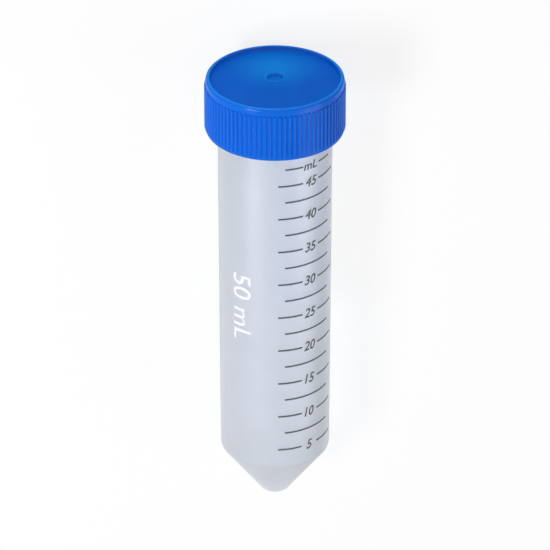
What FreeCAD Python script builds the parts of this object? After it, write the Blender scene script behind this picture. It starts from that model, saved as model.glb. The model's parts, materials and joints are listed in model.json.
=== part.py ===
import FreeCAD, Part
import Sketcher

import os
import re

from FreeCAD import Vector

# A 50 ml conical centrifuge tube with its screw cap, in millimetres, +Z up.
#
# Both mouldings are turned shapes. Each is drawn upright in its own body, on its own Z axis, and its
# Placement then lays it down: the closed tube rests on the lower ends of two of the cap's ribs, which
# keep it from rolling, and on the shoulder where the straight wall meets the cone. So its axis rises a
# little towards the cap, which points to +Y. The origin is on the floor, under the object's middle.
#
# The screw thread is too fine to carry load here. The neck and the inside of the skirt are left plain,
# with the room between them that the thread fills.

DIMENSIONS = [
    # alias, value, what it is
    ("cone_height", 14.0, "tip to shoulder, along the axis"),
    ("tip_radius", 3.3, "outside of the blunt tip"),
    ("tip_round", 1.6, "rounding of the outside of the tip"),
    ("tip_floor", 1.8, "thickness of the bottom at the axis"),
    ("well_radius", 1.5, "inside of the tip"),
    ("shoulder_radius", 13.8, "outside, where the cone meets the wall"),
    ("shoulder_round", 2.0, "rounding of the shoulder"),
    ("neck_radius", 14.25, "outside of the wall at the neck; the wall drafts down to the shoulder"),
    ("wall_thickness", 1.1, "wall of the tube"),
    ("neck_height", 103.6, "tip to the start of the neck"),
    ("mouth_height", 116.25, "tip to the rim of the mouth"),
    ("mouth_round", 0.35, "rounding of the rim of the mouth"),
    ("cap_edge", 104.4, "tip to the cap's lower edge"),
    ("cap_height", 14.3, "whole height of the cap"),
    ("cap_radius", 17.5, "crest of the ribs"),
    ("skirt_radius", 17.15, "outside of the skirt between the ribs"),
    ("skirt_inside", 15.95, "inside of the skirt"),
    ("cap_round", 0.7, "rounding of the cap's top corner"),
    ("edge_round", 0.3, "rounding of the cap's lower corner"),
    ("rim_width", 0.95, "raised rim round the cap's top, with its rounding"),
    ("groove_slope", 0.35, "width of the slope from the rim down to the groove"),
    ("groove_depth", 1.05, "depth of the groove inside the rim"),
    ("crown_rise", 1.0, "rise of the cap's top from the groove to the gate"),
    ("top_thickness", 1.3, "cap's top, from the groove to the underside"),
    ("gate_radius", 2.15, "crater of the injection gate"),
    ("gate_slope", 0.6, "width of the crater's wall"),
    ("gate_depth", 0.45, "depth of the crater"),
    ("nub_radius", 0.4, "gate nub in the crater"),
    ("nub_height", 0.35, "height of the nub"),
    ("plug_radius", 13.0, "outside of the ring that seals the mouth"),
    ("plug_thickness", 1.0, "wall of that ring"),
    ("plug_depth", 3.0, "depth of that ring under the cap's top"),
    ("plug_lead", 0.4, "taper at the ring's lower edge"),
    ("rib_count", 87, "ribs round the skirt"),
    ("rib_round", 0.45, "radius of each rib's round section"),
    ("band_below", 1.0, "smooth band under the ribs"),
    ("band_above", 2.1, "smooth band over the ribs, with the top rounding"),
]
ALIASES = {alias for alias, value, note in DIMENSIONS}

# The lie at rest. Two ribs touch the floor, one each side of the lowest line, and the lean is the slope
# of the line from the shoulder to their lower ends.
RIB_REACH = "((cap_radius - rib_round) * cos(180 deg / rib_count) + rib_round)"
LEAN = f"atan(({RIB_REACH} - shoulder_radius) / (cap_edge + band_below - cone_height))"
RISE = f"(shoulder_radius * cos({LEAN}) - cone_height * sin({LEAN}))"
TOP_REACH = (
    f"((cap_edge + cap_height - cap_round) * cos({LEAN})"
    f" + (skirt_radius - cap_round) * sin({LEAN}) + cap_round)"
)
TIP_REACH = f"((tip_radius - tip_round) * sin({LEAN}))"
SETBACK = f"(({TIP_REACH} - {TOP_REACH}) / 2)"

UNDERSIDE = "cap_height - groove_depth - top_thickness"
GROOVE = "cap_height - groove_depth"
CROWN = f"{GROOVE} + crown_rise"
CRATER = f"{CROWN} - gate_depth"


def bound(text):
    """The same formula, with each size named as a cell of the sheet."""
    cell = r"<<Dimensions>>.\g<0>"
    return re.sub(r"\b(" + "|".join(ALIASES) + r")\b", cell, text)


def make_sheet(doc):
    sheet = doc.addObject("Spreadsheet::Sheet", "Dimensions")
    for row, (alias, value, note) in enumerate(DIMENSIONS, start=1):
        sheet.set(f"A{row}", str(value))
        sheet.setAlias(f"A{row}", alias)
        sheet.set(f"B{row}", note)
    doc.recompute()
    return sheet


def amount(sheet, text):
    """What a formula comes to now."""
    result = sheet.evalExpression(bound(text))
    return float(getattr(result, "Value", result))


def new_sketch(body, name, role):
    """An empty sketch on one of the body's own origin planes."""
    sketch = body.newObject("Sketcher::SketchObject", name)
    plane = next(f for f in body.Origin.OriginFeatures if f.Role == role)
    sketch.AttachmentSupport = (plane, "")
    sketch.MapMode = "FlatFace"
    return sketch


def hold(sketch, kind, element, point, formula):
    """Ties one coordinate of a sketch's point to a formula, or to the axis where it is nothing."""
    axis = {"DistanceX": -2, "DistanceY": -1}[kind]
    if formula == "0":
        sketch.addConstraint(Sketcher.Constraint("PointOnObject", element, point, axis))
        return
    start = amount(sketch.Document.Dimensions, formula)
    rule = Sketcher.Constraint(kind, -1, 1, element, point, start)
    index = sketch.addConstraint(rule)
    sketch.setExpression(f"Constraints[{index}]", bound(formula))


def add_outline(sketch, corners):
    """A closed outline of straight lines through corners, each a pair of formulas."""
    sheet = sketch.Document.Dimensions
    points = [Vector(amount(sheet, across), amount(sheet, up), 0) for across, up in corners]
    ends = points[1:] + points[:1]
    for start, end in zip(points, ends):
        sketch.addGeometry(Part.LineSegment(start, end))
    for n in range(len(points)):
        following = (n + 1) % len(points)
        sketch.addConstraint(Sketcher.Constraint("Coincident", n, 2, following, 1))
    for n, (across, up) in enumerate(corners):
        hold(sketch, "DistanceX", n, 1, across)
        hold(sketch, "DistanceY", n, 1, up)


def turn(body, name, corners):
    """The outline turned once round the body's Z axis."""
    sketch = new_sketch(body, name + "Profile", "XZ_Plane")
    add_outline(sketch, corners)
    turned = body.newObject("PartDesign::Revolution", name)
    turned.Profile = sketch
    turned.ReferenceAxis = (sketch, ["V_Axis"])
    turned.Angle = 360
    body.Document.recompute()
    return turned


def round_rings(body, name, base, size, rings):
    """Rounds the ring-shaped edges of base that have these radii and heights."""
    sheet = body.Document.Dimensions
    wanted = [(amount(sheet, radius), amount(sheet, height)) for radius, height in rings]
    names = []
    for n, edge in enumerate(base.Shape.Edges, start=1):
        if not isinstance(edge.Curve, Part.Circle):
            continue
        ring = (edge.Curve.Radius, edge.Curve.Center.z)
        if any(abs(ring[0] - r) + abs(ring[1] - z) < 0.001 for r, z in wanted):
            names.append(f"Edge{n}")
    if len(names) != len(wanted):
        raise RuntimeError(f"{name}: {len(names)} edges found for {len(wanted)} rings")
    fillet = body.newObject("PartDesign::Fillet", name)
    fillet.Base = (base, names)
    fillet.setExpression("Radius", bound(size))
    body.Document.recompute()
    return fillet


def lay_down(body, distance):
    """Lays an upright body on the floor, its own base this far along the axis from the tip."""
    along_y = f"{SETBACK} + ({distance}) * cos({LEAN})"
    along_z = f"{RISE} + ({distance}) * sin({LEAN})"
    place = f"vector(0; {along_y}; {along_z})"
    turned = f"rotation(vector(-1; 0; 0); 90 deg - {LEAN})"
    body.setExpression("Placement", bound(f"placement({place}; {turned})"))


def make_tube(doc):
    """The tube: a blunt cone, a wall that drafts outwards to the neck, and an open mouth."""
    body = doc.addObject("PartDesign::Body", "tube")
    body.Label = "tube"
    inside_shoulder = ("shoulder_radius - wall_thickness", "cone_height")
    turned = turn(
        body,
        "Moulding",
        [
            ("0", "0"),
            ("tip_radius", "0"),
            ("shoulder_radius", "cone_height"),
            ("neck_radius", "neck_height"),
            ("neck_radius", "mouth_height"),
            ("neck_radius - wall_thickness", "mouth_height"),
            ("neck_radius - wall_thickness", "neck_height"),
            inside_shoulder,
            ("well_radius", "tip_floor"),
            ("0", "tip_floor"),
        ],
    )
    tip = round_rings(body, "TipRound", turned, "tip_round", [("tip_radius", "0")])
    shoulders = [("shoulder_radius", "cone_height"), inside_shoulder]
    shoulder = round_rings(body, "ShoulderRound", tip, "shoulder_round", shoulders)
    mouth = [
        ("neck_radius", "mouth_height"),
        ("neck_radius - wall_thickness", "mouth_height"),
    ]
    round_rings(body, "MouthRound", shoulder, "mouth_round", mouth)
    lay_down(body, "0")
    return body


def make_cap(doc):
    """The screw cap: a ribbed skirt, a crowned top with its gate crater, and a plug ring."""
    body = doc.addObject("PartDesign::Body", "cap")
    body.Label = "cap"
    turned = turn(
        body,
        "Moulding",
        [
            ("skirt_inside", "0"),
            ("skirt_radius", "0"),
            ("skirt_radius", "cap_height"),
            ("skirt_radius - rim_width", "cap_height"),
            ("skirt_radius - rim_width - groove_slope", GROOVE),
            ("gate_radius", CROWN),
            ("gate_radius - gate_slope", CRATER),
            ("nub_radius", CRATER),
            ("nub_radius / 2", f"{CRATER} + nub_height"),
            ("0", f"{CRATER} + nub_height"),
            ("0", f"{UNDERSIDE} + crown_rise"),
            ("plug_radius - plug_thickness", UNDERSIDE),
            ("plug_radius - plug_thickness", f"{UNDERSIDE} - plug_depth"),
            ("plug_radius - plug_lead", f"{UNDERSIDE} - plug_depth"),
            ("plug_radius", f"{UNDERSIDE} - plug_depth + 2 * plug_lead"),
            ("plug_radius", UNDERSIDE),
            ("skirt_inside", UNDERSIDE),
        ],
    )
    top = round_rings(body, "TopRound", turned, "cap_round", [("skirt_radius", "cap_height")])
    edge = round_rings(body, "EdgeRound", top, "edge_round", [("skirt_radius", "0")])
    add_ribs(body, edge)
    lay_down(body, "cap_edge")
    return body


def add_ribs(body, base):
    """Stands one round rib on the skirt and repeats it all the way round.

    The first rib is half a step from the body's Y axis, so that two ribs share the weight at rest.
    """
    doc = body.Document
    sheet = doc.Dimensions
    sketch = new_sketch(body, "RibSection", "XY_Plane")
    sketch.setExpression("AttachmentOffset.Base.z", bound("band_below"))
    across = "(cap_radius - rib_round) * sin(180 deg / rib_count)"
    along = "(cap_radius - rib_round) * cos(180 deg / rib_count)"
    middle = Vector(amount(sheet, across), amount(sheet, along), 0)
    radius = amount(sheet, "rib_round")
    sketch.addGeometry(Part.Circle(middle, Vector(0, 0, 1), radius))
    hold(sketch, "DistanceX", 0, 3, across)
    hold(sketch, "DistanceY", 0, 3, along)
    index = sketch.addConstraint(Sketcher.Constraint("Radius", 0, radius))
    sketch.setExpression(f"Constraints[{index}]", bound("rib_round"))
    rib = body.newObject("PartDesign::Pad", "Rib")
    rib.Profile = sketch
    rib.setExpression("Length", bound("cap_height - band_below - band_above"))
    doc.recompute()
    added = rib.Shape.Volume - base.Shape.Volume
    if added <= 0:
        raise RuntimeError("the rib adds nothing")
    ribs = body.newObject("PartDesign::PolarPattern", "Ribs")
    ribs.Originals = [rib]
    ribs.Axis = (sketch, ["N_Axis"])
    ribs.Angle = 360
    ribs.setExpression("Occurrences", bound("rib_count"))
    body.Tip = ribs
    doc.recompute()
    total = ribs.Shape.Volume - base.Shape.Volume
    count = int(amount(sheet, "rib_count"))
    if abs(total - count * added) > 0.01 * total:
        raise RuntimeError(f"the ribs add {total:.2f} mm3, not {count} times {added:.3f}")


def check(doc, bodies):
    """Stops before anything is written if a feature failed or a moulding isn't one valid solid."""
    for item in doc.Objects:
        if {"Invalid", "Error"} & set(item.State):
            raise RuntimeError(f"{item.Name} failed: {item.State}")
    for body in bodies:
        shape = body.Shape
        if shape.isNull() or not shape.isValid() or len(shape.Solids) != 1:
            raise RuntimeError(f"{body.Label} isn't one valid solid")


def main():
    doc = FreeCAD.newDocument("ConicalTube")
    make_sheet(doc)
    bodies = [make_tube(doc), make_cap(doc)]
    doc.recompute()
    check(doc, bodies)
    os.makedirs("parts", exist_ok=True)
    for body in bodies:
        body.Shape.exportStep(f"parts/{body.Label}.step")
        box = body.Shape.optimalBoundingBox(False)
        print(
            f"{body.Label}: {body.Shape.Volume:.1f} mm3,"
            f" x {box.XMin:.3f} to {box.XMax:.3f},"
            f" y {box.YMin:.3f} to {box.YMax:.3f},"
            f" z {box.ZMin:.3f} to {box.ZMax:.3f}"
        )


main()
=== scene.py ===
"""A 50 ml conical tube and its screw cap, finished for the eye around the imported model.

Everything is in metres. The two mouldings and their print are built upright in the tube's own
frame, with its origin at the tip, +Z along the axis to the cap and -Y towards the printed scale.
One matrix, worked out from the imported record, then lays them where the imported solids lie.
"""

import json
from math import atan2, ceil, cos, pi, radians, sin, sqrt, tan

import bmesh
import bpy
from mathutils import Matrix, Vector


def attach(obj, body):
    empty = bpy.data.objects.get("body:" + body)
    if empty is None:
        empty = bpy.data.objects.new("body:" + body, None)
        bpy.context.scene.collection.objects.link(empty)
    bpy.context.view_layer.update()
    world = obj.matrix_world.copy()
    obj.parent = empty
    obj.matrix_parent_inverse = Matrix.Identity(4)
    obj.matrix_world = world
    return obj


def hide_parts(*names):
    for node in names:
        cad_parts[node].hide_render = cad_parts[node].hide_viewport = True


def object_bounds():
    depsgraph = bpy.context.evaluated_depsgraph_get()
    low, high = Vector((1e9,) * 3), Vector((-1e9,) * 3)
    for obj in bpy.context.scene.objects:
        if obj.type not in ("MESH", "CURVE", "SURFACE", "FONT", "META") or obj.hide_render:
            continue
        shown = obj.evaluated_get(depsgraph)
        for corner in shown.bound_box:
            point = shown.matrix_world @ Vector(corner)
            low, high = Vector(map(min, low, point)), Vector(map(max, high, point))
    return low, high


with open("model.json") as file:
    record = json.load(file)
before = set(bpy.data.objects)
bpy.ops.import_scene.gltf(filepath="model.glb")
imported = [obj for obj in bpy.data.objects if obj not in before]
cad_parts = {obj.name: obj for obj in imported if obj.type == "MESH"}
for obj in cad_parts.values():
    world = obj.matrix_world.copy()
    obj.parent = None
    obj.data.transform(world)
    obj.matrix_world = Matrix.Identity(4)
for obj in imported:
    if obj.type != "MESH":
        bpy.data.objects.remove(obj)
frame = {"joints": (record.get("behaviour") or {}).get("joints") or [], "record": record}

bl_info = {
    "name": "Conical tube",
    "version": (1, 0, 0),
    "blender": (4, 5, 0),
    "location": "3D View > Sidebar > Conical tube",
    "description": "Builds a 50 ml conical tube, its screw cap, its print and a small studio",
    "category": "Add Mesh",
}

CAD_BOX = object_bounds()
HALF_LENGTH = CAD_BOX[1].y  # the tube lies along Y, with its middle over the origin
MM = 0.001
SAME = MM / 100  # radii closer than this are taken for the same
ON_AXIS = 1e-9  # a radius smaller than this is a point on the axis

# The tube's own frame, from the lift of the cap and the seat where the straight wall begins.
SEAT = next(m for m in frame["record"]["mounts"] if m["name"] == "rack_seat")
AXIS = Vector(frame["joints"][0]["axis"]).normalized()
ACROSS = Vector((1, 0, 0))
FRONT = ACROSS.cross(AXIS)


# ---------------------------------------------------------------------------------------------
# Sizes and colours
# ---------------------------------------------------------------------------------------------


def length(name, description, millimetres):
    """A length in metres, given here in millimetres."""
    return bpy.props.FloatProperty(
        name=name, description=description, default=millimetres * MM, unit="LENGTH", precision=5
    )


def angle(name, description, default):
    """An angle, given here in degrees."""
    return bpy.props.FloatProperty(
        name=name, description=description, default=radians(default), subtype="ANGLE"
    )


def number(name, description, default):
    return bpy.props.FloatProperty(name=name, description=description, default=default)


def count(name, description, default):
    return bpy.props.IntProperty(name=name, description=description, default=default, min=1)


def colour(name, description, red, green, blue):
    """A colour, given here in eight-bit sRGB and kept as linear light."""
    return bpy.props.FloatVectorProperty(
        name=name,
        description=description,
        default=[linear(value) for value in (red, green, blue)],
        subtype="COLOR",
        min=0,
        max=1,
    )


def linear(value):
    share = value / 255
    return share / 12.92 if share <= 0.04045 else ((share + 0.055) / 1.055) ** 2.4


class TubeSettings(bpy.types.PropertyGroup):
    """The tube's section, from the tip up."""

    cone_height: length("Cone height", "Tip to shoulder, along the axis", 14.0)
    tip_radius: length("Tip radius", "Outside of the blunt tip", 3.3)
    tip_round: length("Tip rounding", "Rounding of the outside of the tip", 1.6)
    tip_floor: length("Tip floor", "Thickness of the bottom at the axis", 1.8)
    well_radius: length("Well radius", "Inside of the tip", 1.5)
    shoulder_radius: length("Shoulder radius", "Outside, where the cone meets the wall", 13.8)
    shoulder_round: length("Shoulder rounding", "Rounding of the shoulder", 2.0)
    neck_radius: length("Neck radius", "Outside of the wall at the neck", 14.25)
    wall: length("Wall thickness", "Wall of the tube", 1.1)
    neck_height: length("Neck height", "Tip to the start of the neck", 103.6)
    mouth_height: length("Mouth height", "Tip to the rim of the mouth", 116.25)
    mouth_round: length("Mouth rounding", "Rounding of the rim of the mouth", 0.35)
    thread_radius: length("Thread radius", "Crest of the thread on the neck", 15.45)
    thread_start: length("Thread start", "Start of the thread, above the neck's start", 3.4)


class CapSettings(bpy.types.PropertyGroup):
    """The cap's section and its ribs."""

    edge: length("Lower edge", "Tip of the tube to the cap's lower edge", 104.4)
    height: length("Height", "Whole height of the cap", 14.3)
    crest_radius: length("Crest radius", "Crest of the ribs", 17.5)
    skirt_radius: length("Skirt radius", "Outside of the skirt between the ribs", 17.15)
    skirt_inside: length("Skirt inside", "Inside of the skirt", 15.95)
    top_round: length("Top rounding", "Rounding of the cap's top corner", 0.7)
    edge_round: length("Edge rounding", "Rounding of the cap's lower corner", 0.3)
    rim_width: length("Rim width", "Raised rim round the cap's top, with its rounding", 0.95)
    rim_round: length("Rim rounding", "Rounding of the rim's inner edge and of the groove", 0.28)
    groove_slope: length("Groove slope", "Width of the slope from the rim to the groove", 0.35)
    groove_depth: length("Groove depth", "Depth of the groove inside the rim", 1.05)
    crown_rise: length("Crown rise", "Rise of the cap's top from the groove to the gate", 0.84)
    top_thickness: length("Top thickness", "From the groove to the underside", 1.3)
    gate_radius: length("Gate radius", "Crater of the injection gate", 2.15)
    gate_slope: length("Gate slope", "Width of the crater's wall", 0.35)
    gate_depth: length("Gate depth", "Depth of the crater", 0.7)
    lip_width: length("Lip width", "Slope of the lip round the crater", 0.33)
    lip_height: length("Lip height", "Height of that lip", 0.21)
    nub_radius: length("Nub radius", "Foot of the gate's nub in the crater", 0.55)
    nub_height: length("Nub height", "Height of the nub", 0.3)
    plug_radius: length("Plug radius", "Outside of the ring that seals the mouth", 13.0)
    plug_thickness: length("Plug thickness", "Wall of that ring", 1.0)
    plug_depth: length("Plug depth", "Depth of that ring under the cap's top", 3.0)
    plug_lead: length("Plug lead", "Taper at the ring's lower edge", 0.4)
    rib_count: count("Ribs", "Ribs round the skirt", 87)
    rib_round: length("Rib radius", "Radius of each rib's round section", 0.45)
    band_below: length("Band below", "Smooth band under the ribs", 1.0)
    band_above: length("Band above", "Smooth band over the ribs", 2.1)
    # Painted light: the paler patch is a pool of light painted on the cap's top, not the plastic's
    # own colour.
    patch_offset: length("Paler patch offset", "From the gate to the patch's middle", 6.0)
    patch_radius: length("Paler patch radius", "Where that patch has faded out", 13.0)
    # Painted highlight: how far down from the rim's crest the paler edge is painted.
    crest_depth: length("Pale crest depth", "How far the paler edge reaches down the rim", 0.25)
    thread_radius: length("Thread radius", "Crest of the thread inside the skirt", 15.05)


class ThreadSettings(bpy.types.PropertyGroup):
    """The thread's form, the same on the neck and in the cap."""

    pitch: length("Pitch", "Climb in one turn", 4.0)
    turns: number("Turns", "Turns of the thread", 1.5)
    root: length("Root width", "Width of the thread at its root", 1.7)
    crest: length("Crest width", "Width of the thread at its crest", 0.5)
    runout: number("Run-out", "Part of a turn over which each end fades", 0.07)


class PrintSettings(bpy.types.PropertyGroup):
    """The scale, the writing panel and the plain mark. Angles run from the front to the right."""

    film: length("Ink film", "Thickness of the ink", 0.03)
    line: length("Line thickness", "Thickness of the scale's lines", 0.45)
    long_from: angle("Long lines from", "Left end of the lines with a number", 3)
    long_to: angle("Long lines to", "Right end of the lines with a number", 76)
    short_from: angle("Short lines from", "Left end of the lines between", 10)
    short_to: angle("Short lines to", "Right end of the lines between", 67)
    number_at: angle("Numbers at", "Middle of the numbers", 39)
    number_height: length("Number height", "Height of the numbers", 2.7)
    number_gap: angle("Number gap", "Half the gap left in a line for its number", 9.6)
    unit_height: length("Unit height", "Height of the unit on the top line", 2.3)
    panel_from: angle("Panel from", "One edge of the writing panel", 88)
    panel_to: angle("Panel to", "Other edge of the writing panel", 181)
    panel_bottom: length("Panel bottom", "Lower edge of the writing panel", 46.5)
    panel_top: length("Panel top", "Upper edge of the writing panel", 100.5)
    panel_round: length("Panel rounding", "Rounding of the panel's corners", 3.0)
    mark_at: angle("Mark at", "Middle of the plain mark", -36)
    mark_height: length("Mark height", "Height of the mark's figures", 5.4)
    mark_middle: length("Mark middle", "Height of the mark's middle above the tip", 59.5)


class ColourSettings(bpy.types.PropertyGroup):
    """The colours of the plastics and the inks, and of the light and the highlights painted on the
    cap.
    """

    tube: colour("Tube", "Milky polypropylene", 222, 225, 231)
    cap: colour("Cap", "Blue polyethylene", 0, 103, 218)
    cap_deep: colour("Cap, deeper", "Where the pigment is denser", 0, 98, 211)
    # Painted light: this paler blue is a pool of light painted on the cap's top, off the gate towards
    # the back.
    cap_pale: colour("Cap, paler", "Beside the gate, where the plastic spread first", 0, 136, 232)
    # Painted highlight: this paler blue is painted along the crest of the cap's rim and of the gate's
    # lip.
    cap_crest: colour("Cap, crest", "On thin edges, which let light through", 22, 141, 244)
    scale_ink: colour("Scale ink", "Dark grey ink", 52, 53, 58)
    panel_ink: colour("Panel ink", "White ink", 238, 241, 246)


class StudioSettings(bpy.types.PropertyGroup):
    """The camera and the lights."""

    tilt: angle("Camera tilt", "Camera above the plane across the tube, on the cap's side", 30.1)
    distance: length("Camera distance", "Camera to the middle of the tube", 1500)
    field: length("Field", "Width of the picture at the tube", 138)
    aim: length("Aim", "Height above the tip at which the camera looks", 62.3)
    key: number("Key light", "Power of the key light, in watts", 3.55)
    fill: number("Fill light", "Power of the fill light, in watts", 1.9)
    end: number("End light", "Power of the light on the cap's top, in watts", 0.93)
    sky: number("Sky", "Strength of the even light from all round", 0.33)
    mirrored: number("Mirrored", "Share of the floor beyond the cap that a gloss mirrors", 0.1)
    floor_white: number("Floor white", "Share of plain white in what is seen of the floor", 0.82)
    floor_shade: number("Floor shade", "How much light the matt floor gives back", 0.9)


# ---------------------------------------------------------------------------------------------
# Outlines and turned meshes
# ---------------------------------------------------------------------------------------------


def rounded(corners, steps=5):
    """The outline through corners, each (radius, height) or (radius, height, rounding).

    A corner with a rounding is replaced by an arc that touches both of its sides.
    """
    points = []
    for n, corner in enumerate(corners):
        here = Vector(corner[:2])
        if len(corner) == 2:
            points.append(tuple(here))
            continue
        before = (Vector(corners[n - 1][:2]) - here).normalized()
        after = (Vector(corners[n + 1][:2]) - here).normalized()
        half = before.angle(after) / 2
        middle = here + (before + after).normalized() * corner[2] / sin(half)
        start = here + before * corner[2] / tan(half) - middle
        end = here + after * corner[2] / tan(half) - middle
        turn = start.angle(end)
        for k in range(steps + 1):
            share = k / steps
            weights = sin((1 - share) * turn) / sin(turn), sin(share * turn) / sin(turn)
            points.append(tuple(middle + start * weights[0] + end * weights[1]))
    return points


def even(low, high, step):
    """Values from low to high, both included, at most step apart."""
    parts = max(1, ceil(abs(high - low) / step))
    return [low + (high - low) * n / parts for n in range(parts + 1)]


def on_wall(radius, turn, height):
    """The point at this radius, angle from the front and height above the tip."""
    return radius * sin(turn), -radius * cos(turn), height


def turned_mesh(name, outline, turns, relief=None):
    """A closed mesh: an outline from the axis back to the axis, turned through all of turns.

    relief(radius, turn, height) gives the radius that a point gets instead of its own.
    """
    rings, points, faces = [], [], []
    for radius, height in outline:
        first = len(points)
        if radius < ON_AXIS:
            points.append((0, 0, height))
            rings.append([first] * len(turns))
            continue
        for turn in turns:
            own = relief(radius, turn, height) if relief else radius
            points.append(on_wall(own, turn, height))
        rings.append(list(range(first, first + len(turns))))
    for low, high in zip(rings, rings[1:]):
        for a, b, c, d in zip(low, low[1:] + low[:1], high[1:] + high[:1], high):
            corners = list(dict.fromkeys((a, b, c, d)))
            if len(corners) > 2:
                faces.append(corners)
    return solid(name, points, faces)


def solid(name, points, faces, sharp=32):
    """An object from points and faces in the tube's own frame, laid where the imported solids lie.

    Its faces are turned outwards, and only real edges are sharp.
    """
    mesh = bpy.data.meshes.new(name)
    mesh.from_pydata(points, [], faces)
    work = bmesh.new()
    work.from_mesh(mesh)
    bmesh.ops.transform(work, matrix=tube_frame(), verts=work.verts)
    bmesh.ops.recalc_face_normals(work, faces=work.faces)
    work.to_mesh(mesh)
    work.free()
    mesh.shade_smooth()
    mesh.set_sharp_from_angle(angle=radians(sharp))
    item = bpy.data.objects.new(name, mesh)
    bpy.context.scene.collection.objects.link(item)
    return item


def tube_frame():
    """From the tube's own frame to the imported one."""
    cone = bpy.context.scene.tube_settings.cone_height
    tip = Vector(SEAT["pos_m"]) - AXIS * cone
    turn = Matrix((ACROSS, -FRONT, AXIS)).transposed()
    return Matrix.Translation(tip) @ turn.to_4x4()


def on_axis(height):
    """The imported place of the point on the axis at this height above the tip."""
    return tube_frame() @ Vector((0, 0, height))


def finish(piece, body, slot, node=None):
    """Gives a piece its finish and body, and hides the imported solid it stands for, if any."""
    piece.data.materials.clear()
    piece.data.materials.append(FINISHES[slot]())
    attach(piece, body)
    if node:
        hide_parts(node)


def thread_share(turn, height, start):
    """How much of the thread's full height stands at this angle and height: 0 to 1.

    It starts at the front, start above the tip, and climbs to the right, so it is right-handed.
    """
    form = bpy.context.scene.thread_settings
    most = 0.0
    for whole in range(ceil(form.turns) + 1):
        run = (turn / (2 * pi)) % 1 + whole
        if run > form.turns:
            continue
        end = min(1, run / form.runout, (form.turns - run) / form.runout)
        fade = end * end * (3 - 2 * end)
        away = abs(height - start - form.pitch * run)
        flank = (form.root / 2 - away) / ((form.root - form.crest) / 2)
        most = max(most, min(1, max(0, flank)) * fade)
    return most


# ---------------------------------------------------------------------------------------------
# Finishes
# ---------------------------------------------------------------------------------------------

NOISE_MIDDLE = (0.3, 0.7)  # most of a noise lies between these
WALL_PASSES = (0.7, 0.725, 0.765)  # share of a lamp's red, green and blue through each face
THIN_INK_PALER = 0.06
INK_ROUGHNESS_SPREAD = 0.05


def node_tools(tree):
    """Empties a node tree, and gives the two helpers that fill it: node and link."""
    tree.nodes.clear()

    def node(kind, **settings):
        item = tree.nodes.new(kind)
        for key, value in settings.items():
            setattr(item, key, value)
        return item

    return node, tree.links.new


def new_material(name):
    """An empty node material and its two helpers."""
    material = bpy.data.materials.new(name)
    material.use_nodes = True
    return material, *node_tools(material.node_tree)


def set_sockets(item, values):
    """Sets plain numbers and colours on a node's own sockets."""
    for socket, value in values.items():
        item.inputs[socket].default_value = value


def end_in(node, link, surface, kind="ShaderNodeOutputMaterial"):
    """Ends a node tree: this is the surface that it gives."""
    link(surface, node(kind).inputs["Surface"])


def place(node):
    """Where a point lies on its piece, which stays the same as the piece moves."""
    return node("ShaderNodeTexCoord").outputs["Object"]


def grain(node, link, scale, detail=2.0):
    """Noise fixed to the piece, at scale features a metre."""
    noise = node("ShaderNodeTexNoise")
    set_sockets(noise, {"Scale": scale, "Detail": detail})
    link(place(node), noise.inputs["Vector"])
    return noise.outputs["Fac"]


def ranged(node, link, value, start, end, low=0, high=1, kind="LINEAR"):
    """A value that runs from low to high as another runs from start to end."""
    spread = node("ShaderNodeMapRange", interpolation_type=kind)
    limits = {"From Min": start, "From Max": end, "To Min": low, "To Max": high}
    set_sockets(spread, limits)
    link(value, spread.inputs["Value"])
    return spread.outputs["Result"]


def between(node, link, noise, low, high):
    """A value that runs from low to high as noise runs over the middle of its range."""
    return ranged(node, link, noise, *NOISE_MIDDLE, low, high)


def blended(node, link, factor, low, high):
    """A colour that runs from low to high with factor. Either is a colour or another output."""
    mix = node("ShaderNodeMix", data_type="RGBA")
    for socket, shade in (("A", low), ("B", high)):
        if isinstance(shade, bpy.types.NodeSocket):
            link(shade, mix.inputs[socket])
        else:
            mix.inputs[socket].default_value = (*shade, 1)
    link(factor, mix.inputs["Factor"])
    return mix.outputs["Result"]


def product(node, link, one, other):
    """One value times another."""
    times = node("ShaderNodeMath", operation="MULTIPLY")
    link(one, times.inputs[0])
    link(other, times.inputs[1])
    return times.outputs["Value"]


def bumped(node, link, factor, height, strength):
    """A surface normal roughened by factor, height metres deep."""
    bump = node("ShaderNodeBump")
    set_sockets(bump, {"Distance": height, "Strength": strength})
    link(factor, bump.inputs["Height"])
    return bump.outputs["Normal"]


def cap_plastic():
    """Moulded polyethylene: a strong blue with a satin, faintly grained skin, and light and
    highlights painted on its top.
    """
    colours = bpy.context.scene.colour_settings
    material, node, link = new_material("cap_plastic")
    shader = node("ShaderNodeBsdfPrincipled")
    cloud = between(node, link, grain(node, link, scale=90), low=0, high=1)
    body = blended(node, link, cloud, colours.cap_deep, colours.cap)
    # Painted light: a paler pool painted on the cap's top, off the gate towards the back.
    body = blended(node, link, patch_nearness(node, link), body, colours.cap_pale)
    # Painted highlight: a paler edge painted along the crest of the rim and of the gate's lip.
    body = blended(node, link, crest_nearness(node, link), body, colours.cap_crest)
    link(body, shader.inputs["Base Color"])
    satin = between(node, link, grain(node, link, scale=420), low=0.29, high=0.35)
    link(satin, shader.inputs["Roughness"])
    skin = bumped(node, link, grain(node, link, scale=2600), height=0.02 * MM, strength=0.2)
    link(skin, shader.inputs["Normal"])
    looks = {
        "IOR": 1.53,
        "Specular IOR Level": 0.03,
        "Coat Weight": 0.24,
        "Coat Roughness": 0.17,
        "Coat IOR": 1.5,
        "Subsurface Weight": 0.2,
        "Subsurface Radius": (0.1, 0.3, 1.0),
        "Subsurface Scale": 1.2 * MM,
    }
    set_sockets(shader, looks)
    end_in(node, link, shader.outputs["BSDF"])
    return material


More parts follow.
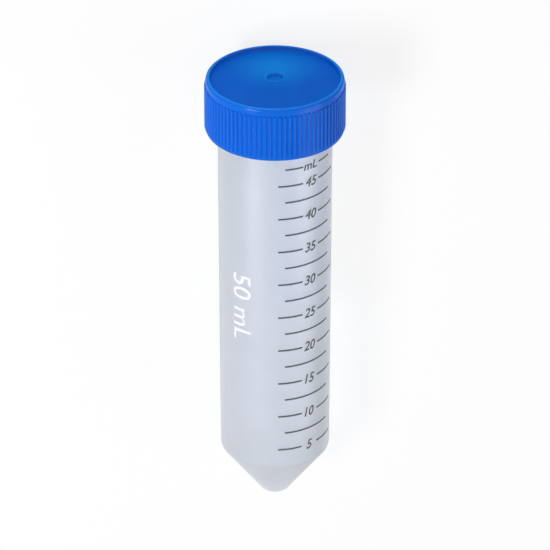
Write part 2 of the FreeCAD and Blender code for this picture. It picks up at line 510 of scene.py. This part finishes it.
def patch_nearness(node, link):
    """1 in the middle of the pool of light painted on the cap's top, off the gate towards the back, 0
    outside it.
    """
    cap = bpy.context.scene.cap_settings
    away = node("ShaderNodeVectorMath", operation="DISTANCE")
    link(place(node), away.inputs[0])
    middle = Vector((0, cap.patch_offset, cap.edge + cap.height))
    away.inputs[1].default_value = tube_frame() @ middle
    return ranged(node, link, away.outputs["Value"], cap.patch_radius, 0, kind="SMOOTHSTEP")


def crest_nearness(node, link):
    """1 on the crest of the cap's rim and of the gate's lip, 0 just below them: where a highlight is
    painted.
    """
    cap = bpy.context.scene.cap_settings
    up = node("ShaderNodeVectorMath", operation="DOT_PRODUCT")
    link(place(node), up.inputs[0])
    up.inputs[1].default_value = AXIS
    crest = on_axis(cap.edge + cap.height).dot(AXIS)
    foot = crest - cap.crest_depth
    return ranged(node, link, up.outputs["Value"], foot, crest, kind="SMOOTHSTEP")


def tube_plastic():
    """Milky polypropylene, which lets light through and blurs what is behind it.

    Lamps shine through the wall, so what is inside and under it isn't left in a black shadow.
    """
    colours = bpy.context.scene.colour_settings
    material, node, link = new_material("tube_plastic")
    shader = node("ShaderNodeBsdfPrincipled")
    haze = between(node, link, grain(node, link, scale=130), low=0.97, high=1)
    tint = node("ShaderNodeMix", data_type="RGBA", blend_type="MULTIPLY")
    set_sockets(tint, {"Factor": 1, "A": (*colours.tube, 1)})
    link(haze, tint.inputs["B"])
    link(tint.outputs["Result"], shader.inputs["Base Color"])
    blur = between(node, link, grain(node, link, scale=300), low=0.3, high=0.36)
    link(blur, shader.inputs["Roughness"])
    flow = grain(node, link, scale=240, detail=3)
    link(bumped(node, link, flow, height=0.1 * MM, strength=0.2), shader.inputs["Normal"])
    looks = {
        "IOR": 1.49,
        "Transmission Weight": 0.72,
        "Specular IOR Level": 0.5,
        "Coat Weight": 0.12,
        "Coat Roughness": 0.2,
        "Coat IOR": 1.49,
    }
    set_sockets(shader, looks)
    lit_through(node, link, shader, WALL_PASSES)
    return material


def lit_through(node, link, shader, share):
    """Ends a material whose surface lets lamps shine through, each face passing this share."""
    clear = node("ShaderNodeBsdfTransparent")
    clear.inputs["Color"].default_value = (*share, 1)
    choose = node("ShaderNodeMixShader")
    link(node("ShaderNodeLightPath").outputs["Is Shadow Ray"], choose.inputs["Fac"])
    link(shader.outputs["BSDF"], choose.inputs[1])
    link(clear.outputs["BSDF"], choose.inputs[2])
    end_in(node, link, choose.outputs["Shader"])


def ink(name, shade, roughness, passes):
    """Screen ink: nearly even, a little thinner here and there, and matt."""
    material, node, link = new_material(name)
    shader = node("ShaderNodeBsdfPrincipled")
    thin = between(node, link, grain(node, link, scale=1400, detail=3), low=0, high=1)
    paler = [value + (1 - value) * THIN_INK_PALER for value in shade]
    link(blended(node, link, thin, shade, paler), shader.inputs["Base Color"])
    limits = roughness - INK_ROUGHNESS_SPREAD, roughness + INK_ROUGHNESS_SPREAD
    matt = between(node, link, grain(node, link, scale=900), *limits)
    link(matt, shader.inputs["Roughness"])
    skin = bumped(node, link, grain(node, link, scale=3600), height=0.01 * MM, strength=0.4)
    link(skin, shader.inputs["Normal"])
    lit_through(node, link, shader, [passes] * 3)
    return material


def scale_ink():
    shade = bpy.context.scene.colour_settings.scale_ink
    return ink("scale_ink", shade, roughness=0.5, passes=0.2)


def panel_ink():
    shade = bpy.context.scene.colour_settings.panel_ink
    return ink("panel_ink", shade, roughness=0.6, passes=0.92)


FINISHES = {
    "tube_plastic": tube_plastic,
    "cap_plastic": cap_plastic,
    "scale_ink": scale_ink,
    "panel_ink": panel_ink,
}


# ---------------------------------------------------------------------------------------------
# Mouldings
# ---------------------------------------------------------------------------------------------


class OBJECT_OT_tube_moulding(bpy.types.Operator):
    """The tube: a blunt cone, a drafted wall, a threaded neck and an open mouth"""

    bl_idname = "object.tube_moulding"
    bl_label = "Tube moulding"

    SIDES = 256
    THREAD_ROW = 0.12 * MM

    def execute(self, context):
        s = context.scene.tube_settings
        start = s.neck_height + s.thread_start
        inner_neck = s.neck_radius - s.wall
        neck = even(s.neck_height, s.mouth_height - s.mouth_round, self.THREAD_ROW)
        outline = rounded(
            [
                (0, 0),
                (s.tip_radius, 0, s.tip_round),
                (s.shoulder_radius, s.cone_height, s.shoulder_round),
                (s.neck_radius, s.neck_height),
            ],
            steps=8,
        )
        outline += [(s.neck_radius, height) for height in neck[1:-1]]
        outline += rounded(
            [
                (s.neck_radius, neck[-1]),
                (s.neck_radius, s.mouth_height, s.mouth_round),
                (inner_neck, s.mouth_height, s.mouth_round),
                (inner_neck, s.neck_height),
                (s.shoulder_radius - s.wall, s.cone_height, s.shoulder_round),
                (s.well_radius, s.tip_floor),
                (0, s.tip_floor),
            ]
        )[1:]

        def relief(radius, turn, height):
            if radius < s.neck_radius - SAME or height < s.neck_height:
                return radius
            share = thread_share(turn, height, start)
            return radius + (s.thread_radius - radius) * share

        turns = [2 * pi * n / self.SIDES for n in range(self.SIDES)]
        piece = turned_mesh("tube_moulding", outline, turns, relief)
        finish(piece, "tube", "tube_plastic", "tube")
        return {"FINISHED"}


class OBJECT_OT_cap_moulding(bpy.types.Operator):
    """The screw cap: ribbed skirt, rim and crowned top with its gate, plug ring and thread"""

    bl_idname = "object.cap_moulding"
    bl_label = "Cap moulding"

    RIB_STEPS = 6
    THREAD_ROW = 0.2 * MM
    END_SLOPE = 0.12 * MM

    def execute(self, context):
        s = context.scene.cap_settings
        outline = self.top(s) + self.skirt(s) + self.inside(s)
        form = context.scene.thread_settings
        tube = context.scene.tube_settings
        start = tube.neck_height + tube.thread_start - form.pitch / 2
        low, high = s.edge + s.band_below, s.edge + s.height - s.band_above

        def relief(radius, turn, height):
            if abs(radius - s.skirt_inside) < SAME:
                share = thread_share(turn, height, start)
                return radius - (radius - s.thread_radius) * share
            if abs(radius - s.skirt_radius) < SAME and low < height < high:
                return max(radius, self.rib(s, turn))
            return radius

        piece = turned_mesh("cap_moulding", outline, self.turns(s), relief)
        finish(piece, "cap", "cap_plastic", "cap")
        return {"FINISHED"}

    def turns(self, s):
        """Angles that fall on each rib's two feet and evenly over its round back.

        One rib is at the front, and a gap is at the back, where the closed tube rests on two ribs.
        """
        step = 2 * pi / s.rib_count
        foot = self.foot(s)
        own = [-foot + 2 * foot * n / self.RIB_STEPS for n in range(self.RIB_STEPS + 1)]
        return [step * rib + offset for rib in range(s.rib_count) for offset in own]

    def foot(self, s):
        """The angle from a rib's middle to where its side meets the skirt."""
        middle = s.crest_radius - s.rib_round
        share = (middle**2 + s.skirt_radius**2 - s.rib_round**2) / (2 * middle * s.skirt_radius)
        return atan2(sqrt(1 - share * share), share)

    def rib(self, s, turn):
        """The radius of the rib's back at this angle, or 0 beside it."""
        step = 2 * pi / s.rib_count
        away = (turn + step / 2) % step - step / 2
        middle = s.crest_radius - s.rib_round
        under = s.rib_round**2 - (middle * sin(away)) ** 2
        return middle * cos(away) + sqrt(under) if under > 0 else 0

    def top(self, s):
        """From the gate's nub out to the rim."""
        rim = s.edge + s.height
        groove = rim - s.groove_depth
        crown = groove + s.crown_rise
        crater = crown - s.gate_depth
        return rounded(
            [
                (0, crater + s.nub_height),
                (s.nub_radius / 4, crater + s.nub_height, s.nub_radius / 8),
                (s.nub_radius, crater),
                (s.gate_radius - s.gate_slope, crater, s.gate_slope / 4),
                (s.gate_radius, crown + s.lip_height, s.lip_height / 2),
                (s.gate_radius + s.lip_width, crown, s.lip_height / 2),
                (s.skirt_radius - s.rim_width - s.groove_slope, groove, s.rim_round),
                (s.skirt_radius - s.rim_width, rim, s.rim_round),
                (s.skirt_radius, rim, s.top_round),
                (s.skirt_radius, rim - s.band_above + self.END_SLOPE),
                (s.skirt_radius, rim - s.band_above),
            ],
            steps=6,
        )

    def skirt(self, s):
        """Down the ribs, whose ends slope in to the smooth bands, and round the lower corner.

        A narrow ring beside each end keeps the ribs' shading out of the bands.
        """
        low, high = s.edge + s.band_below, s.edge + s.height - s.band_above
        rows = even(high - self.END_SLOPE, low + self.END_SLOPE, MM)
        ribs = [(s.skirt_radius, height) for height in rows]
        corner = [
            (s.skirt_radius, low),
            (s.skirt_radius, low - self.END_SLOPE),
            (s.skirt_radius, s.edge, s.edge_round),
            (s.skirt_inside, s.edge),
        ]
        return ribs + rounded(corner)

    def inside(self, s):
        """Up the inside of the skirt, over the plug ring and along the underside to the axis."""
        under = s.edge + s.height - s.groove_depth - s.top_thickness
        wall = even(s.edge, under, self.THREAD_ROW)
        ring = rounded(
            [
                (s.plug_radius, under),
                (s.plug_radius, under - s.plug_depth + 2 * s.plug_lead),
                (s.plug_radius - s.plug_lead, under - s.plug_depth, s.plug_lead / 4),
                (s.plug_radius - s.plug_thickness, under - s.plug_depth, s.plug_lead / 4),
                (s.plug_radius - s.plug_thickness, under),
                (0, under + s.crown_rise),
            ],
            steps=3,
        )
        return [(s.skirt_inside, height) for height in wall[1:]] + ring


# ---------------------------------------------------------------------------------------------
# Print
# ---------------------------------------------------------------------------------------------

CUBIC_METRES_PER_ML = 1e-6
WELD = 1e-5  # points of a letter closer than this are one, in letter heights
CUT_SNAP = 1e-8  # a cut this close to a point goes through it
SLICE = radians(2)  # a film of ink bends round the wall in steps of this
BLUNTEST = 0.25  # keeps a sharp corner of a letter from growing a spike


def level(volume):
    """Height above the tip of this many millilitres, from the room in the cone and the wall."""
    s = bpy.context.scene.tube_settings
    left = volume * CUBIC_METRES_PER_ML
    low, start = s.well_radius, s.tip_floor
    for high, end in (
        (s.shoulder_radius - s.wall, s.cone_height),
        (s.neck_radius - s.wall, s.neck_height),
    ):
        slope = (high - low) / (end - start)
        room = pi * (high**3 - low**3) / (3 * slope)
        if left <= room or end == s.neck_height:
            radius = (low**3 + 3 * slope * left / pi) ** (1 / 3)
            return start + (radius - low) / slope
        left, low, start = left - room, high, end


def wall_radius(height):
    """Outside of the tube's wall at this height."""
    s = bpy.context.scene.tube_settings
    share = (height - s.cone_height) / (s.neck_height - s.cone_height)
    return s.shoulder_radius + (s.neck_radius - s.shoulder_radius) * share


def stadium(left, right, middle, thickness, cap_steps=4):
    """A line with round ends, as an outline in arc length round the wall and height."""
    half = thickness / 2
    points = []
    for centre, start in ((right - half, -pi / 2), (left + half, pi / 2)):
        for n in range(cap_steps + 1):
            turn = start + pi * n / cap_steps
            points.append((centre + half * cos(turn), middle + half * sin(turn)))
    return points


def flat_faces(outlines):
    """A flat bmesh of outlines, each a list of (across, up)."""
    flat = bmesh.new()
    for outline in outlines:
        flat.faces.new([flat.verts.new((across, up, 0)) for across, up in outline])
    return flat


def lettering(text, height, slant=0.0, narrow=1.0, bold=0.0):
    """A flat bmesh of text about its own middle, this tall, slanted, narrowed and made bolder."""
    curve = bpy.data.curves.new("lettering", "FONT")
    curve.body = text
    curve.align_x, curve.align_y = "CENTER", "CENTER"
    curve.resolution_u = 4
    letters = bpy.data.objects.new("lettering", curve)
    bpy.context.scene.collection.objects.link(letters)
    bpy.context.view_layer.update()
    mesh = bpy.data.meshes.new_from_object(letters)
    bpy.data.objects.remove(letters)
    bpy.data.curves.remove(curve)
    flat = bmesh.new()
    flat.from_mesh(mesh)
    bpy.data.meshes.remove(mesh)
    bmesh.ops.remove_doubles(flat, verts=flat.verts, dist=WELD)
    fatten(flat, bold)
    low = min(v.co.y for v in flat.verts)
    high = max(v.co.y for v in flat.verts)
    size = height / (high - low)
    middle = (min(v.co.x for v in flat.verts) + max(v.co.x for v in flat.verts)) / 2
    for v in flat.verts:
        up = (v.co.y - (low + high) / 2) * size
        v.co = ((v.co.x - middle) * size * narrow + up * slant, up, 0)
    return flat


def fatten(flat, by):
    """Moves the outline of a flat bmesh outwards, and the outline of each opening inwards."""
    sides = {}
    for edge in (item for item in flat.edges if item.is_boundary):
        loop = edge.link_loops[0]
        along = (loop.link_loop_next.vert.co - loop.vert.co).normalized()
        outward = along.cross(loop.face.normal)
        for v in edge.verts:
            sides.setdefault(v, []).append(outward)
    for v, (one, other, *_) in sides.items():
        v.co += by * (one + other) / max(BLUNTEST, 1 + one.dot(other))


def slice_finely(flat, step):
    """Cuts a flat bmesh across, so that it can bend round the wall."""
    left = min(v.co.x for v in flat.verts)
    right = max(v.co.x for v in flat.verts)
    for across in even(left, right, step)[1:-1]:
        whole = flat.verts[:] + flat.edges[:] + flat.faces[:]
        cut = {"plane_co": (across, 0, 0), "plane_no": (1, 0, 0), "dist": CUT_SNAP}
        bmesh.ops.bisect_plane(flat, geom=whole, **cut)


def printed(name, flats, slot):
    """Wraps flat pieces of print round the wall as one closed film of ink.

    Each is a bmesh whose x is arc length from the front, on the neck's radius, and y is height.
    """
    s = bpy.context.scene.print_settings
    neck = bpy.context.scene.tube_settings.neck_radius
    whole = bmesh.new()
    for flat in flats:
        slice_finely(flat, neck * SLICE)
        top = bmesh.ops.extrude_face_region(flat, geom=flat.faces[:], use_keep_orig=True)
        for v in (item for item in top["geom"] if isinstance(item, bmesh.types.BMVert)):
            v.co.z = s.film
        piece = bpy.data.meshes.new("flat")
        flat.to_mesh(piece)
        flat.free()
        whole.from_mesh(piece)
        bpy.data.meshes.remove(piece)
    whole.verts.index_update()
    points = []
    for v in whole.verts:
        radius = wall_radius(v.co.y) + v.co.z
        points.append(on_wall(radius, v.co.x / neck, v.co.y))
    faces = [[v.index for v in face.verts] for face in whole.faces]
    whole.free()
    finish(solid(name, points, faces), "tube", slot)


def moved(flat, across, up, turn=0.0):
    """The flat bmesh, turned about its own middle and then moved."""
    move = Matrix.Translation((across, up, 0)) @ Matrix.Rotation(turn, 4, "Z")
    bmesh.ops.transform(flat, matrix=move, verts=flat.verts)
    return flat


class OBJECT_OT_scale_lines(bpy.types.Operator):
    """The scale's lines, every 2.5 ml, with gaps for the numbers and the unit"""

    bl_idname = "object.scale_lines"
    bl_label = "Scale lines"

    FIRST, LAST, STEP = 5, 47.5, 2.5

    def execute(self, context):
        s = context.scene.print_settings
        neck = context.scene.tube_settings.neck_radius
        outlines = []
        for volume in even(self.FIRST, self.LAST, self.STEP):
            numbered = volume % OBJECT_OT_scale_numbers.STEP == 0
            left = s.long_from if numbered else s.short_from
            right = s.long_to if numbered else s.short_to
            stops = [left, right]
            if numbered or volume == self.LAST:
                stops[1:1] = [s.number_at - s.number_gap, s.number_at + s.number_gap]
            for start, end in zip(stops[::2], stops[1::2]):
                outlines.append(stadium(start * neck, end * neck, level(volume), s.line))
        printed("scale_lines", [flat_faces(outlines)], "scale_ink")
        return {"FINISHED"}


class OBJECT_OT_scale_numbers(bpy.types.Operator):
    """The numbers in the gaps, every 5 ml, and the unit on the top line"""

    bl_idname = "object.scale_numbers"
    bl_label = "Scale numbers"

    FIRST, LAST, STEP = 5, 45, 5
    SLANT = 0.2
    NARROW = 0.92
    UNIT_NARROW = 1.1 * NARROW
    BOLD = 0.016

    def execute(self, context):
        s = context.scene.print_settings
        across = s.number_at * context.scene.tube_settings.neck_radius
        flats = []
        for volume in range(self.FIRST, self.LAST + 1, self.STEP):
            flat = lettering(str(volume), s.number_height, self.SLANT, self.NARROW, self.BOLD)
            flats.append(moved(flat, across, level(volume)))
        unit = lettering("mL", s.unit_height, self.SLANT, self.UNIT_NARROW, self.BOLD)
        flats.append(moved(unit, across, level(OBJECT_OT_scale_lines.LAST)))
        printed("scale_numbers", flats, "scale_ink")
        return {"FINISHED"}


class OBJECT_OT_writing_panel(bpy.types.Operator):
    """The white panel for notes, on the back of the wall"""

    bl_idname = "object.writing_panel"
    bl_label = "Writing panel"

    def execute(self, context):
        s = context.scene.print_settings
        neck = context.scene.tube_settings.neck_radius
        left, right = s.panel_from * neck, s.panel_to * neck
        corners = [
            (left, s.panel_bottom),
            (right, s.panel_bottom),
            (right, s.panel_top),
            (left, s.panel_top),
        ]
        ring = [(*corner, s.panel_round) for corner in corners]
        outline = rounded([corners[-1]] + ring + [corners[0]], steps=8)[1:-1]
        printed("writing_panel", [flat_faces([outline])], "panel_ink")
        return {"FINISHED"}


class OBJECT_OT_volume_mark(bpy.types.Operator):
    """A plain white mark of the tube's size, down the left of the wall"""

    bl_idname = "object.volume_mark"
    bl_label = "Volume mark"

    def execute(self, context):
        s = context.scene.print_settings
        flat = lettering("50 mL", s.mark_height)
        across = s.mark_at * context.scene.tube_settings.neck_radius
        flat = moved(flat, across, s.mark_middle, -pi / 2)
        printed("volume_mark", [flat], "panel_ink")
        return {"FINISHED"}


# ---------------------------------------------------------------------------------------------
# Studio
# ---------------------------------------------------------------------------------------------

FLOOR_TURNS_WHITE = (2, 6)  # from and to this far from the middle, in half lengths of the tube


def background_ray(node, link):
    """1 for a ray that sees the background, straight, mirrored or through the wall, else 0."""
    path = node("ShaderNodeLightPath")
    seen = path.outputs["Is Camera Ray"]
    for kind in ("Is Glossy Ray", "Is Transmission Ray"):
        both = node("ShaderNodeMath", operation="ADD", use_clamp=True)
        link(seen, both.inputs[0])
        link(path.outputs[kind], both.inputs[1])
        seen = both.outputs["Value"]
    return seen


def card(node, link):
    """1 for what a gloss mirrors of the floor beyond the cap, 0 for the rest of the floor."""
    parts = node("ShaderNodeSeparateXYZ")
    link(place(node), parts.inputs["Vector"])
    beyond = node("ShaderNodeMath", operation="GREATER_THAN")
    link(parts.outputs["Y"], beyond.inputs[0])
    beyond.inputs[1].default_value = HALF_LENGTH
    mirrored = node("ShaderNodeLightPath").outputs["Is Glossy Ray"]
    return product(node, link, beyond.outputs["Value"], mirrored)


def floor_white(s):
    """Plain matt white. What is seen of it is mostly plain white, and a shadow on it stays.

    Beyond the cap a gloss mirrors little of it, as if a dark card lay there, out of the picture.
    Away from the tube the floor turns plain white, so no edge of it shows from low down.
    """
    material, node, link = new_material("floor_white")
    dark = card(node, link)
    matt = node("ShaderNodeBsdfDiffuse")
    shades = [s.floor_shade] * 3, [s.floor_shade * s.mirrored] * 3
    link(blended(node, link, dark, *shades), matt.inputs["Color"])
    light = node("ShaderNodeEmission")
    link(blended(node, link, dark, (1, 1, 1), [s.mirrored] * 3), light.inputs["Color"])
    away = node("ShaderNodeVectorMath", operation="LENGTH")
    link(place(node), away.inputs[0])
    reach = [HALF_LENGTH * times for times in FLOOR_TURNS_WHITE]
    white = ranged(node, link, away.outputs["Value"], *reach, s.floor_white, 1, "SMOOTHSTEP")
    both = node("ShaderNodeMixShader")
    link(product(node, link, background_ray(node, link), white), both.inputs["Fac"])
    link(matt.outputs["BSDF"], both.inputs[1])
    link(light.outputs["Emission"], both.inputs[2])
    end_in(node, link, both.outputs["Shader"])
    return material


def soft_light(name, towards, aim, away, size, power):
    """An area light of this width and height, this far away in a direction, aimed at a point."""
    data = bpy.data.lights.new(name, "AREA")
    data.shape = "RECTANGLE"
    data.size, data.size_y = size
    data.energy = power
    lamp = bpy.data.objects.new(name, data)
    direction = towards.normalized()
    lamp.location = aim + direction * away
    lamp.rotation_euler = direction.to_track_quat("Z", "Y").to_euler()
    bpy.context.scene.collection.objects.link(lamp)


class OBJECT_OT_tube_studio(bpy.types.Operator):
    """The floor, the lights, the even sky and the camera"""

    bl_idname = "object.tube_studio"
    bl_label = "Studio"

    FLOOR_SIZE = 3.0
    SENSOR = 36.0
    # For each: its name and its power's, its direction as shares of across, front and axis, what
    # it is aimed at, its distance and its size.
    LAMPS = (
        ("key", (-0.62, 0.86, -0.1), "cap", 0.7, (0.2, 0.2)),
        ("fill", (0.9, 0.5, -0.25), "middle", 0.8, (0.5, 0.5)),
        ("end", (-0.1, 0.12, 0.94), "cap", 0.6, (0.8, 0.08)),
    )

    def execute(self, context):
        s = context.scene.studio_settings
        aims = {"middle": on_axis(s.aim), "cap": on_axis(context.scene.cap_settings.edge)}
        self.floor(s)
        self.sky(context, s)
        for name, (across, front, axis), at, away, size in self.LAMPS:
            towards = ACROSS * across + FRONT * front + AXIS * axis
            soft_light(f"{name}_light", towards, aims[at], away, size, getattr(s, name))
        self.camera(context, s, aims["middle"])
        context.scene.view_settings.view_transform = "Standard"
        return {"FINISHED"}

    def floor(self, s):
        half = self.FLOOR_SIZE / 2
        mesh = bpy.data.meshes.new("floor")
        corners = [(-half, -half, 0), (half, -half, 0), (half, half, 0), (-half, half, 0)]
        mesh.from_pydata(corners, [], [(0, 1, 2, 3)])
        mesh.materials.append(floor_white(s))
        floor = bpy.data.objects.new("floor", mesh)
        floor.location.z = CAD_BOX[0].z
        bpy.context.scene.collection.objects.link(floor)

    def sky(self, context, s):
        world = bpy.data.worlds.new("studio_sky")
        context.scene.world = world
        world.use_nodes = True
        node, link = node_tools(world.node_tree)
        back = node("ShaderNodeBackground")
        back.inputs["Color"].default_value = (1, 1, 1, 1)
        shown = ranged(node, link, background_ray(node, link), 0, 1, s.sky, 1)
        link(shown, back.inputs["Strength"])
        end_in(node, link, back.outputs["Background"], "ShaderNodeOutputWorld")

    def camera(self, context, s, aim):
        """Looks down on the lying tube, from the front and the cap's side, with the cap up."""
        data = bpy.data.cameras.new("camera")
        data.sensor_width = self.SENSOR
        data.lens = self.SENSOR * s.distance / s.field
        camera = bpy.data.objects.new("camera", data)
        back = FRONT * cos(s.tilt) + AXIS * sin(s.tilt)
        up = AXIS * cos(s.tilt) - FRONT * sin(s.tilt)
        turn = Matrix((up.cross(back), up, back)).transposed()
        camera.matrix_world = Matrix.Translation(aim + back * s.distance) @ turn.to_4x4()
        context.scene.collection.objects.link(camera)
        context.scene.camera = camera


# ---------------------------------------------------------------------------------------------
# Panel and registration
# ---------------------------------------------------------------------------------------------

SETTINGS = {
    "tube_settings": TubeSettings,
    "cap_settings": CapSettings,
    "thread_settings": ThreadSettings,
    "print_settings": PrintSettings,
    "colour_settings": ColourSettings,
    "studio_settings": StudioSettings,
}

OPERATORS = (
    OBJECT_OT_tube_moulding,
    OBJECT_OT_cap_moulding,
    OBJECT_OT_scale_lines,
    OBJECT_OT_scale_numbers,
    OBJECT_OT_writing_panel,
    OBJECT_OT_volume_mark,
    OBJECT_OT_tube_studio,
)


class VIEW3D_PT_conical_tube(bpy.types.Panel):
    """The steps and their sizes"""

    bl_label = "Conical tube"
    bl_idname = "VIEW3D_PT_conical_tube"
    bl_space_type = "VIEW_3D"
    bl_region_type = "UI"
    bl_category = "Conical tube"

    def draw(self, context):
        layout = self.layout
        for operator in OPERATORS:
            layout.operator(operator.bl_idname)
        for name, group in SETTINGS.items():
            box = layout.box()
            box.label(text=name.replace("_", " ").capitalize())
            for key in group.__annotations__:
                box.prop(getattr(context.scene, name), key)


CLASSES = (*SETTINGS.values(), *OPERATORS, VIEW3D_PT_conical_tube)


def register():
    for item in CLASSES:
        bpy.utils.register_class(item)
    for name, group in SETTINGS.items():
        setattr(bpy.types.Scene, name, bpy.props.PointerProperty(type=group))


def unregister():
    for name in SETTINGS:
        delattr(bpy.types.Scene, name)
    for item in reversed(CLASSES):
        bpy.utils.unregister_class(item)


def main():
    register()
    for operator in OPERATORS:
        group, name = operator.bl_idname.split(".")
        getattr(getattr(bpy.ops, group), name)()


if __name__ == "__main__":
    main()
